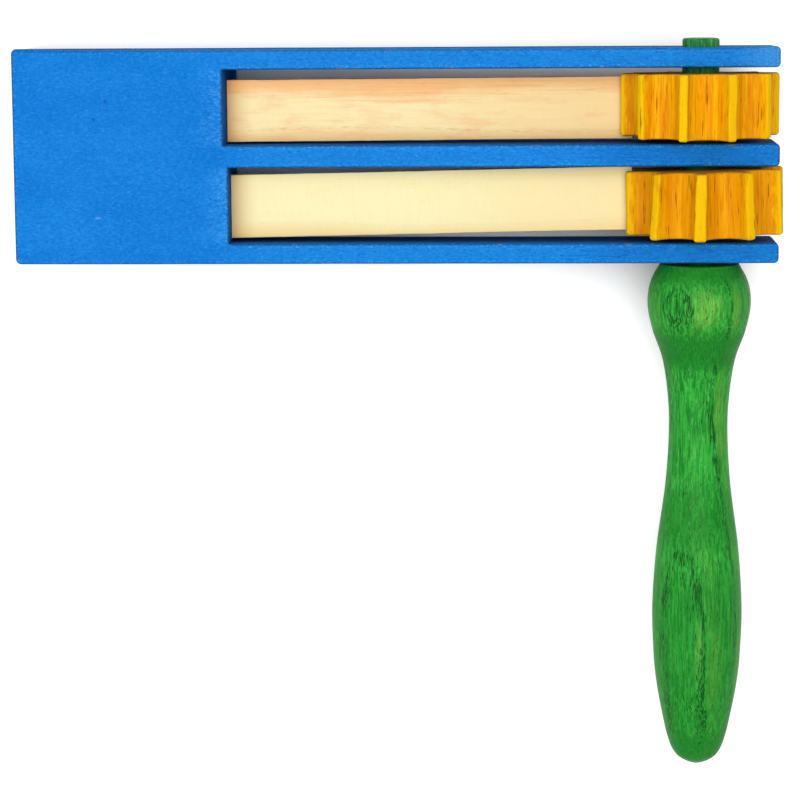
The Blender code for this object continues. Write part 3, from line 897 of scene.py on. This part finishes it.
def yellow_stain(name, cog, end_grain_and_shade_tone, deepen, shift):
    """Golden stain: fine broken fibres and thin brown checks along the grain; the crests lighter, partly
    worn and partly a painted highlight.
    """
    finish = Finish(name, shown(231, 150, 2), 0.05)
    x, y = finish.axes()[:2]
    flat = finish.node("ShaderNodeCombineXYZ", {0: x, 1: y, 2: 0.0})
    reach = finish.node("ShaderNodeVectorMath", {0: flat}, "Value", operation="LENGTH")
    bands = finish.figure((0.42, 0.42, 0.014), 2.0, 0.5, (shift, 1.0, 3.0))
    fibres = finish.figure((2.3, 2.3, 0.12), 4.0, 0.65, (5.0, shift, 2.0))
    checks = finish.figure((2.1, 2.1, 0.15), 1.0, 0.5, (2.0, 7.0, shift))
    ragged = finish.figure((0.6, 0.6, 0.22), 3.0, 0.6, (6.0, shift, 4.0))
    fine = finish.figure((2.0, 2.0, 1.0), 3.0, 0.7, (1.0, 2.0, shift))
    finish.tint(shown(249, 184, 6), bands, 0.36, 0.64)
    finish.tint(shown(213, 124, 2), fibres, 0.48, 0.66, 0.8)
    finish.tint(shown(254, 198, 12), fibres, 0.46, 0.30, 0.7)
    finish.lay(shown(205, 122, 2), deepen)
    # Lighter crests: partly stain worn on the eased crests, partly painted highlight on their up-facing
    # strips
    crest_wear_and_highlight = finish.sum(reach, finish.rise(ragged, 0.25, 0.75, -1.0, 1.0))
    finish.tint(shown(254, 208, 8), crest_wear_and_highlight, 18.9, 20.6, 0.65)
    finish.tint(shown(224, 138, 3), fine, 0.52, 0.78, 0.4)
    finish.tint(shown(146, 78, 6), checks, 0.66, 0.74, 0.8)
    half = cog["thickness"] / 2 / MM
    front = cog_front(cog) / COG_RADIUS
    top = finish.along(Vector((0.0, 0.0, -1.0)) - front * cog["top_askew"])
    foot = finish.along(Vector((0.0, 0.0, 1.0)) - front * cog["foot_askew"])
    # The sawn ends are darker end grain, and on the upper cog darker still with painted shade from the top
    # arm
    finish.tint(end_grain_and_shade_tone, finish.most(top, foot), half - 0.35, half - 0.05, 0.8)
    relief = [(fibres, -0.7), (finish.rise(checks, 0.66, 0.8), -1.0), (fine, 0.25)]
    return finish.coat(finish.rise(fibres, 0.3, 0.7, 0.46, 0.62), relief, 0.11 * MM)


def green_stain(name, rings, tones, smooth_and_shaded_zones, late_zones, pale_and_sheen_patches, smooth_and_shade_depth, shift):
    """Green stain on ring-porous wood: dark pores start each growth ring, yellowish late wood ends it.

    The rings bend by the given amounts, and lean across the piece, between two heights. In the smooth
    and shaded zones the stain lies smooth and dark by a share; where such a zone lies in shade, as on
    the spindle below its stub and at the top of the handle's ball, the darkening is painted shade. In the
    late zones the late wood shows through by a share. A zone runs between two heights, with the softness
    of its ends last. A pale patch on the front has its centre and its reach, each across and along the
    piece, and its share; the patch on the handle's ball is partly a painted sheen. All lengths are in
    millimetres.
    """
    base_tone, light_tone, late_tone, pore_tone = tones
    finish = Finish(name, base_tone, 0.10)
    x, y, z = finish.axes()
    width = rings["width"]
    wander = finish.figure((0.11, 0.022, 0.11), 2.0, 0.5, (shift, 1.0, 4.0))
    ripple = finish.figure((0.8, 0.16, 0.8), 2.0, 0.5, (4.0, shift, 1.0))
    wavy = finish.rise(wander, 0.2, 0.8, -0.3, 0.3)
    uneven = finish.rise(ripple, 0.25, 0.75, -0.35, 0.35)
    uneven = finish.times(uneven, finish.rise(y, -66.0, -56.0, 1.0, 0.35))
    ring = finish.sum(finish.along(rings["direction"]), wavy, uneven, -rings["start"])
    for low, high, amount, lean in rings["bends"]:
        bend = finish.sum(finish.times(x, lean), amount)
        ring = finish.sum(ring, finish.times(finish.rise(y, low, high), bend))
    beyond = finish.chain("FLOORED_MODULO", (ring, width))
    plain = finish.zones(y, smooth_and_shaded_zones)
    lively = finish.rise(plain, 0.0, 1.0, 1.0, 0.25)
    broken = finish.figure((0.30, 0.09, 0.30), 2.0, 0.5, (1.0, 5.0, shift))
    early = finish.times(finish.rise(beyond, 0.0, 0.25), finish.rise(beyond, 0.40, 2.00, 1.0, 0.0),
                         finish.rise(broken, 0.40, 0.54, 0.55, 1.1), finish.rise(plain, 0.5, 0.9, 1.0, 0.2))
    # The late wood fades towards -x, painted shade on that side
    late = finish.times(finish.rise(beyond, 0.45 * width, 0.92 * width),
                        finish.rise(beyond, 0.90 * width, width, 1.0, 0.4), lively,
                        finish.rise(x, -6.0, 3.0, 0.2, 1.0), finish.zones(y, late_zones))
    fibres = finish.figure((1.7, 0.08, 1.7), 4.0, 0.65, (2.0, shift, 6.0))
    glints = finish.figure((2.8, 0.22, 2.8), 2.0, 0.55, (7.0, shift, 1.0))
    pores = finish.figure((4.6, 0.36, 4.6), 1.0, 0.5, (shift, 7.0, 3.0))
    fine = finish.figure((1.8, 1.1, 1.8), 4.0, 0.7, (3.0, 3.0, shift))
    finish.lay(light_tone, finish.rise(fibres, 0.40, 0.62), lively)
    finish.lay(late_tone, late)
    finish.lay(shown(98, 196, 92), finish.rise(glints, 0.55, 0.70, 0.0, 0.65), lively)
    # Pale patches on the front; the one on the handle's ball is partly a painted sheen
    for centre, reach, share in pale_and_sheen_patches:
        in_front = finish.rise(z, 2.0, 8.0, 0.0, share)
        glinting = finish.rise(glints, 0.40, 0.62, 0.3, 1.1)
        finish.lay(shown(128, 202, 84), finish.spot(x, y, centre, reach), in_front, glinting)
    finish.tint(pore_tone, fine, 0.48, 0.78, 0.5)
    open_pores = finish.rise(finish.sum(pores, finish.times(early, 0.205)), 0.68, 0.76)
    finish.lay(pore_tone, open_pores, 0.9)
    # Smooth dark zones; where a zone lies in shade, this darkening is painted shade
    finish.lay(pore_tone, plain, smooth_and_shade_depth)
    relief = [(open_pores, -1.0), (fibres, 0.5), (glints, 0.5)]
    return finish.coat(finish.rise(fibres, 0.3, 0.7, 0.42, 0.56), relief, 0.14 * MM)


def bright_steel():
    """Drawn wire with faint rings and a little dulling."""
    finish = Finish("bright steel", shown(196, 197, 199), 0.5, metallic=1.0)
    rings = finish.figure((0.3, 6.0, 0.3), 3.0, 0.6)
    dull = finish.figure((1.2, 1.2, 1.2), 3.0, 0.6)
    finish.tint(shown(146, 145, 143), dull, 0.4, 0.7)
    return finish.coat(finish.rise(dull, 0.3, 0.7, 0.26, 0.44), [(rings, 1.0)], 0.02 * MM)


def peach_wood():
    tones = (shown(253, 218, 156), shown(255, 236, 180), shown(255, 198, 134))
    return slat_wood("bare peach wood", tones, streak_tone=shown(247, 184, 122),
                     pore_tone=shown(206, 142, 84), tip_tone=shown(252, 212, 146),
                     red_edge=1.0, streaky=0.7, saw_marks=0.06, shift=7.0)


def cream_wood():
    tones = (shown(253, 230, 166), shown(255, 245, 192), shown(255, 240, 182))
    return slat_wood("bare cream wood", tones, streak_tone=shown(250, 226, 158),
                     pore_tone=shown(216, 172, 108), tip_tone=shown(253, 226, 160),
                     red_edge=0.4, streaky=0.25, saw_marks=0.20, shift=17.0)


def handle_stain():
    """Stain on the handle, whose rings draw an oval on the ball and an arch on the grip."""
    tones = (shown(22, 132, 36), shown(54, 180, 60), shown(112, 172, 58), shown(6, 78, 20))
    bends = [(-166.0, -140.0, -3.0, 0.0), (-90.0, -60.0, -1.05, 0.0), (-56.0, -44.0, 0.5, -0.12)]
    rings = {"direction": (-0.4772, -0.037, 0.8788), "start": 11.7, "width": 8.2, "bends": bends}
    # The zone from -34 to -20, at the top of the ball just under the lower arm, is painted shade
    smooth_and_shaded_zones = [(-57.0, -47.0, 0.9, 3.0), (-106.0, -90.0, 0.6, 6.0), (-34.0, -20.0, 0.9, 4.0),
                   (-170.0, -112.0, 0.5, 6.0), (-170.0, -155.0, 0.85, 6.0)]
    late_zones = [(-170.0, -20.0, 0.16, 4.0), (-46.0, -36.0, 0.6, 3.0), (-82.0, -60.0, 0.45, 5.0),
                  (-148.0, -127.0, 0.48, 5.0)]
    pale_and_sheen_patches = [((0.1, -40.0), (6.2, 5.8), 0.52), ((-0.9, -132.5), (1.7, 12.0), 0.4)]
    return green_stain("green stain, handle", rings, tones, smooth_and_shaded_zones, late_zones, pale_and_sheen_patches,
                       smooth_and_shade_depth=0.22, shift=6.0)


def spindle_stain():
    """Green stain on the spindle, with a little grain on its stub; below the stub it is smooth and dark,
    painted shade between the arms and cogs.
    """
    tones = (shown(26, 112, 52), shown(54, 150, 76), shown(70, 150, 70), shown(6, 66, 34))
    rings = {"direction": (0.8, 0.0, 0.6), "start": 1.5, "width": 4.1, "bends": []}
    return green_stain("green stain, spindle", rings, tones, smooth_and_shaded_zones=[(-60.0, 18.0, 1.0, 6.0)],
                       late_zones=[(-60.0, 40.0, 0.65, 6.0)], pale_and_sheen_patches=[], smooth_and_shade_depth=0.85, shift=13.0)


def make_pieces():
    make_frame(blue_paint())
    make_slat("upper", "peach_slat", peach_wood())
    make_slat("lower", "cream_slat", cream_wood())
    # Each cog's end tone: end grain, on the upper cog deepened with painted shade from the top arm
    for side, end_grain_and_shade_tone, deepen, shift in (("upper", shown(74, 38, 4), 0.0, 2.0),
                                          ("lower", shown(190, 126, 6), 0.28, 11.0)):
        stain = yellow_stain(f"golden stain, {side} cog", COGS[side], end_grain_and_shade_tone, deepen, shift)
        make_cog(side, f"{side}_yellow_cog", stain)
    make_handle(handle_stain())
    make_spindle(spindle_stain())
    steel = bright_steel()
    for side in COGS:
        make_pin(side, steel)
        make_brads(side, steel)


# Studio
WHITE = (1.0, 1.0, 1.0, 1.0)
WORLD_LEVEL = 0.40
KEY_LEVEL = 0.66
KEY_PLACE = Vector((-0.30, 0.27, 2.36))
KEY_SIZE = 3.0
FLOOR_LEVEL = -0.0001
FLOOR_HALF_SIZE = 2.5
FLOOR_GLOW = 0.65
PAPER_GREY = 0.66
PAPER_ROUGHNESS = 0.9
SHADOW_REACH = 0.05
SHADOW_FULL = 0.22
SHADOW_GONE = 0.66
CAMERA_PLACE = Vector((-0.016184, 0.123575, 0.721053))
CAMERA_LEAN = math.radians(7.2)
CAMERA_YAW = math.radians(1.309)
CAMERA_ROLL = math.radians(0.396)
CAMERA_LENS = 118.82
CAMERA_SENSOR = 36.0
CAMERA_SHIFT = -0.15
CAMERA_NEAREST = 0.01


def make_world():
    """Even soft light, seen as white."""
    world = bpy.data.worlds.new("studio")
    bpy.context.scene.world = world
    nodes = Nodes(world)
    back = nodes.tree.nodes["Background"]
    back.inputs["Color"].default_value = WHITE
    values = {"Value": nodes.seen_directly(), "To Min": WORLD_LEVEL, "To Max": 1.0}
    nodes.feed(back.inputs["Strength"], nodes.node("ShaderNodeMapRange", values))


def make_floor():
    """White paper that keeps the object's shadow and, away from the object, is seen as plain white."""
    shape = bmesh.new()
    bmesh.ops.create_grid(shape, x_segments=8, y_segments=8, size=FLOOR_HALF_SIZE)
    bmesh.ops.translate(shape, vec=(0.0, 0.0, FLOOR_LEVEL), verts=shape.verts)
    floor = new_object("floor", mesh_of("floor", shape))
    material = bpy.data.materials.new("white paper")
    nodes = Nodes(material)
    shader = nodes.tree.nodes["Principled BSDF"]
    shader.inputs["Base Color"].default_value = (PAPER_GREY, PAPER_GREY, PAPER_GREY, 1.0)
    shader.inputs["Roughness"].default_value = PAPER_ROUGHNESS
    shader.inputs["Specular IOR Level"].default_value = 0.0
    shader.inputs["Emission Color"].default_value = WHITE
    open_sky = nodes.node("ShaderNodeAmbientOcclusion", {"Distance": SHADOW_REACH}, "AO")
    away = nodes.rise(open_sky, SHADOW_FULL, SHADOW_GONE, 0.0, FLOOR_GLOW)
    nodes.feed(shader.inputs["Emission Strength"], nodes.times(away, nodes.seen_directly()))
    floor.data.materials.append(material)


def make_lights():
    """One large soft lamp overhead, towards the top."""
    lamp = bpy.data.lights.new("softbox", "AREA")
    lamp.shape = "DISK"
    lamp.size = KEY_SIZE
    distance = KEY_PLACE.length
    facing = KEY_PLACE.z / distance
    lamp.energy = KEY_LEVEL * math.pi ** 2 * (distance ** 2 + (KEY_SIZE / 2) ** 2) / facing
    holder = bpy.data.objects.new("softbox", lamp)
    bpy.context.scene.collection.objects.link(holder)
    holder.location = KEY_PLACE
    holder.rotation_euler = (-KEY_PLACE).to_track_quat("-Z", "Y").to_euler()


def make_camera():
    """Camera above the ratchet, leaning towards the handle and turned a little along the frame."""
    aim = Matrix.Rotation(-CAMERA_YAW, 3, "Y")
    right = aim @ Vector((1.0, 0.0, 0.0))
    up = aim @ Vector((0.0, math.cos(CAMERA_LEAN), -math.sin(CAMERA_LEAN)))
    turned_right = right * math.cos(CAMERA_ROLL) - up * math.sin(CAMERA_ROLL)
    turned_up = up * math.cos(CAMERA_ROLL) + right * math.sin(CAMERA_ROLL)
    back = turned_right.cross(turned_up)
    lens = bpy.data.cameras.new("camera")
    lens.lens = CAMERA_LENS
    lens.sensor_width = CAMERA_SENSOR
    lens.shift_y = CAMERA_SHIFT
    lens.clip_start = CAMERA_NEAREST
    camera = bpy.data.objects.new("camera", lens)
    bpy.context.scene.collection.objects.link(camera)
    turn = Matrix((turned_right, turned_up, back)).transposed().to_4x4()
    camera.matrix_world = Matrix.Translation(CAMERA_PLACE) @ turn
    bpy.context.scene.camera = camera


make_camera()
make_world()
make_floor()
make_lights()
make_pieces()
bpy.context.scene.view_settings.view_transform = "Standard"

bpy.context.view_layer.update()
